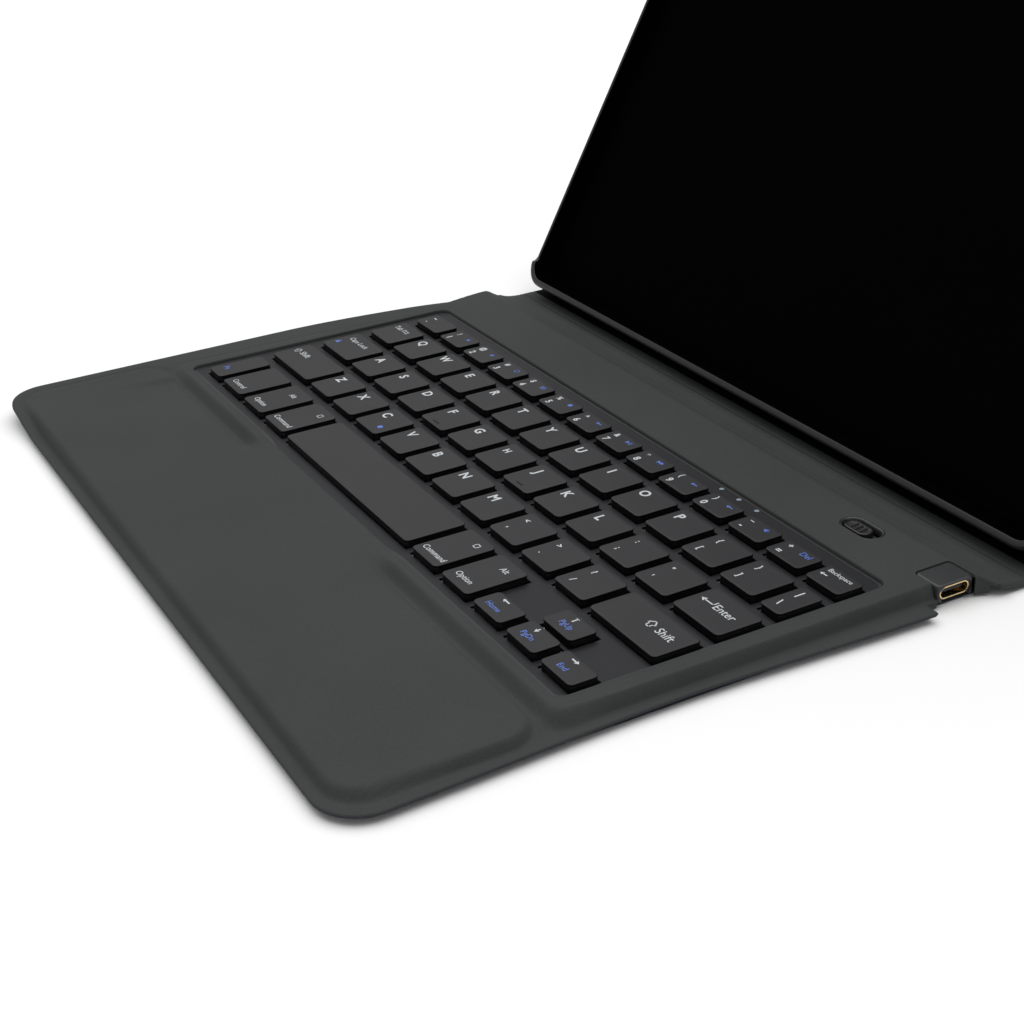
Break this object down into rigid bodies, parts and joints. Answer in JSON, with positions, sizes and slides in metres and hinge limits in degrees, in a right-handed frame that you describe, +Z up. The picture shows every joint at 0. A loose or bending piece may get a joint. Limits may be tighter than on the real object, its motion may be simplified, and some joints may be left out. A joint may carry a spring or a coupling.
{
  "type": "tablet keyboard case",
  "caption": "Folding tablet case with a fabric-covered wireless keyboard base, a flexible spine and a leaning tray with a kickstand.",
  "frame": {"origin": "middle of the base's flat underside, on the table", "axes": "+X along the key rows to the right, +Y from the palm rest towards the tray, +Z up"},
  "size_m": [0.254, 0.2824, 0.1639],
  "materials": {
    "fabric": "fine matt microfibre",
    "stiff_board": "pressed board",
    "foam": "foam",
    "deck_plastic": "satin",
    "sheet_steel": "plated",
    "membrane": "film",
    "dome_rubber": "silicone",
    "white_plastic": "plain",
    "board_green": "lacquered",
    "battery_foil": "foil pouch",
    "gold_shell": "plated shell",
    "black_plastic": "plain",
    "port_plastic": "smooth moulded",
    "switch_plastic": "ribbed",
    "light_pipe": "clear",
    "magnet": "nickel",
    "tray_plastic": "satin moulded",
    "lining": "short black pile",
    "key_plastic": "fine matt"
  },
  "bodies": {
    "base": {"base_bottom_skin": "fabric", "base_board": "stiff_board", "palm_foam": "foam", "base_top_fabric": "fabric", "keyboard_bottom_case": "deck_plastic", "key_support_plate": "sheet_steel", "membrane_sheet": "membrane", "rubber_domes": "dome_rubber", "scissor_links": "white_plastic", "keyboard_deck": "deck_plastic", "circuit_board": "board_green", "battery_cell": "battery_foil", "usb_socket": "gold_shell", "usb_tongue": "black_plastic", "port_surround": "port_plastic", "switch_bezel": "port_plastic", "power_switch_body": "black_plastic", "status_lights": "light_pipe", "case_screws": "sheet_steel", "closing_magnets": "magnet"},
    "number_keys_body": {"number_keys": "key_plastic"},
    "top_letter_keys_body": {"top_letter_keys": "key_plastic"},
    "home_letter_keys_body": {"home_letter_keys": "key_plastic"},
    "lower_letter_keys_body": {"lower_letter_keys": "key_plastic"},
    "grave_key_body": {"grave_key": "key_plastic"},
    "backspace_key_body": {"backspace_key": "key_plastic"},
    "tab_key_body": {"tab_key": "key_plastic"},
    "backslash_key_body": {"backslash_key": "key_plastic"},
    "caps_lock_key_body": {"caps_lock_key": "key_plastic"},
    "enter_key_body": {"enter_key": "key_plastic"},
    "left_shift_key_body": {"left_shift_key": "key_plastic"},
    "right_shift_key_body": {"right_shift_key": "key_plastic"},
    "fn_key_body": {"fn_key": "key_plastic"},
    "control_key_body": {"control_key": "key_plastic"},
    "left_option_key_body": {"left_option_key": "key_plastic"},
    "left_command_key_body": {"left_command_key": "key_plastic"},
    "space_bar_body": {"space_bar": "key_plastic"},
    "right_command_key_body": {"right_command_key": "key_plastic"},
    "right_option_key_body": {"right_option_key": "key_plastic"},
    "arrow_left_key_body": {"arrow_left_key": "key_plastic"},
    "arrow_down_key_body": {"arrow_down_key": "key_plastic"},
    "arrow_up_key_body": {"arrow_up_key": "key_plastic"},
    "arrow_right_key_body": {"arrow_right_key": "key_plastic"},
    "switch_slider": {"power_switch_knob": "switch_plastic"},
    "spine": {"spine_fabric": "fabric", "spine_board": "stiff_board"},
    "tray": {"tray_shell": "tray_plastic", "tray_lining": "lining", "back_cover": "fabric", "hinge_leaf_upper": "sheet_steel", "tray_magnets": "magnet", "tray_hem": "fabric"},
    "kickstand": {"hinge_leaf_lower": "sheet_steel", "hinge_pin": "sheet_steel", "kickstand_board": "stiff_board", "kickstand_fabric": "fabric", "kickstand_magnets": "magnet"}
  },
  "joints": [
    {"name": "spine_front_fold", "type": "hinge", "parent": "base", "child": "spine", "pos_m": [0, 0.0855, 0.0009], "axis": [1, 0, 0], "range_deg": [0, 90]},
    {"name": "spine_rear_fold", "type": "hinge", "parent": "spine", "child": "tray", "pos_m": [0, 0.1035, 0.0009], "axis": [1, 0, 0], "range_deg": [-60.7, 29.3]},
    {"name": "kickstand_hinge", "type": "hinge", "parent": "tray", "child": "kickstand", "pos_m": [0, 0.14404, 0.07447], "axis": [1, 0, 0], "range_deg": [-47.5, 40]},
    {"name": "power_switch_slide", "type": "slide", "parent": "base", "child": "switch_slider", "axis": [1, 0, 0], "range_m": [0, 0.0026]},
    {"name": "number_keys_press", "type": "slide", "parent": "base", "child": "number_keys_body", "axis": [0, 0, -1], "range_m": [0, 0.0014], "stiffness_N_per_m": 1500},
    {"name": "top_letter_keys_press", "type": "slide", "parent": "base", "child": "top_letter_keys_body", "axis": [0, 0, -1], "range_m": [0, 0.0014], "stiffness_N_per_m": 1500, "deforming": ["rubber_domes"]},
    {"name": "home_letter_keys_press", "type": "slide", "parent": "base", "child": "home_letter_keys_body", "axis": [0, 0, -1], "range_m": [0, 0.0014], "stiffness_N_per_m": 1500},
    {"name": "lower_letter_keys_press", "type": "slide", "parent": "base", "child": "lower_letter_keys_body", "axis": [0, 0, -1], "range_m": [0, 0.0014], "stiffness_N_per_m": 1500},
    {"name": "grave_key_press", "type": "slide", "parent": "base", "child": "grave_key_body", "axis": [0, 0, -1], "range_m": [0, 0.0014], "stiffness_N_per_m": 300},
    {"name": "backspace_key_press", "type": "slide", "parent": "base", "child": "backspace_key_body", "axis": [0, 0, -1], "range_m": [0, 0.0014], "stiffness_N_per_m": 300},
    {"name": "tab_key_press", "type": "slide", "parent": "base", "child": "tab_key_body", "axis": [0, 0, -1], "range_m": [0, 0.0014], "stiffness_N_per_m": 300},
    {"name": "backslash_key_press", "type": "slide", "parent": "base", "child": "backslash_key_body", "axis": [0, 0, -1], "range_m": [0, 0.0014], "stiffness_N_per_m": 300},
    {"name": "caps_lock_key_press", "type": "slide", "parent": "base", "child": "caps_lock_key_body", "axis": [0, 0, -1], "range_m": [0, 0.0014], "stiffness_N_per_m": 300},
    {"name": "enter_key_press", "type": "slide", "parent": "base", "child": "enter_key_body", "axis": [0, 0, -1], "range_m": [0, 0.0014], "stiffness_N_per_m": 300},
    {"name": "left_shift_key_press", "type": "slide", "parent": "base", "child": "left_shift_key_body", "axis": [0, 0, -1], "range_m": [0, 0.0014], "stiffness_N_per_m": 300},
    {"name": "right_shift_key_press", "type": "slide", "parent": "base", "child": "right_shift_key_body", "axis": [0, 0, -1], "range_m": [0, 0.0014], "stiffness_N_per_m": 300},
    {"name": "fn_key_press", "type": "slide", "parent": "base", "child": "fn_key_body", "axis": [0, 0, -1], "range_m": [0, 0.0014], "stiffness_N_per_m": 300},
    {"name": "control_key_press", "type": "slide", "parent": "base", "child": "control_key_body", "axis": [0, 0, -1], "range_m": [0, 0.0014], "stiffness_N_per_m": 300},
    {"name": "left_option_key_press", "type": "slide", "parent": "base", "child": "left_option_key_body", "axis": [0, 0, -1], "range_m": [0, 0.0014], "stiffness_N_per_m": 300},
    {"name": "left_command_key_press", "type": "slide", "parent": "base", "child": "left_command_key_body", "axis": [0, 0, -1], "range_m": [0, 0.0014], "stiffness_N_per_m": 300},
    {"name": "space_bar_press", "type": "slide", "parent": "base", "child": "space_bar_body", "axis": [0, 0, -1], "range_m": [0, 0.0014], "stiffness_N_per_m": 450},
    {"name": "right_command_key_press", "type": "slide", "parent": "base", "child": "right_command_key_body", "axis": [0, 0, -1], "range_m": [0, 0.0014], "stiffness_N_per_m": 300},
    {"name": "right_option_key_press", "type": "slide", "parent": "base", "child": "right_option_key_body", "axis": [0, 0, -1], "range_m": [0, 0.0014], "stiffness_N_per_m": 300},
    {"name": "arrow_left_key_press", "type": "slide", "parent": "base", "child": "arrow_left_key_body", "axis": [0, 0, -1], "range_m": [0, 0.0014], "stiffness_N_per_m": 300},
    {"name": "arrow_down_key_press", "type": "slide", "parent": "base", "child": "arrow_down_key_body", "axis": [0, 0, -1], "range_m": [0, 0.0014], "stiffness_N_per_m": 300},
    {"name": "arrow_up_key_press", "type": "slide", "parent": "base", "child": "arrow_up_key_body", "axis": [0, 0, -1], "range_m": [0, 0.0014], "stiffness_N_per_m": 300},
    {"name": "arrow_right_key_press", "type": "slide", "parent": "base", "child": "arrow_right_key_body", "axis": [0, 0, -1], "range_m": [0, 0.0014], "stiffness_N_per_m": 300}
  ]
}
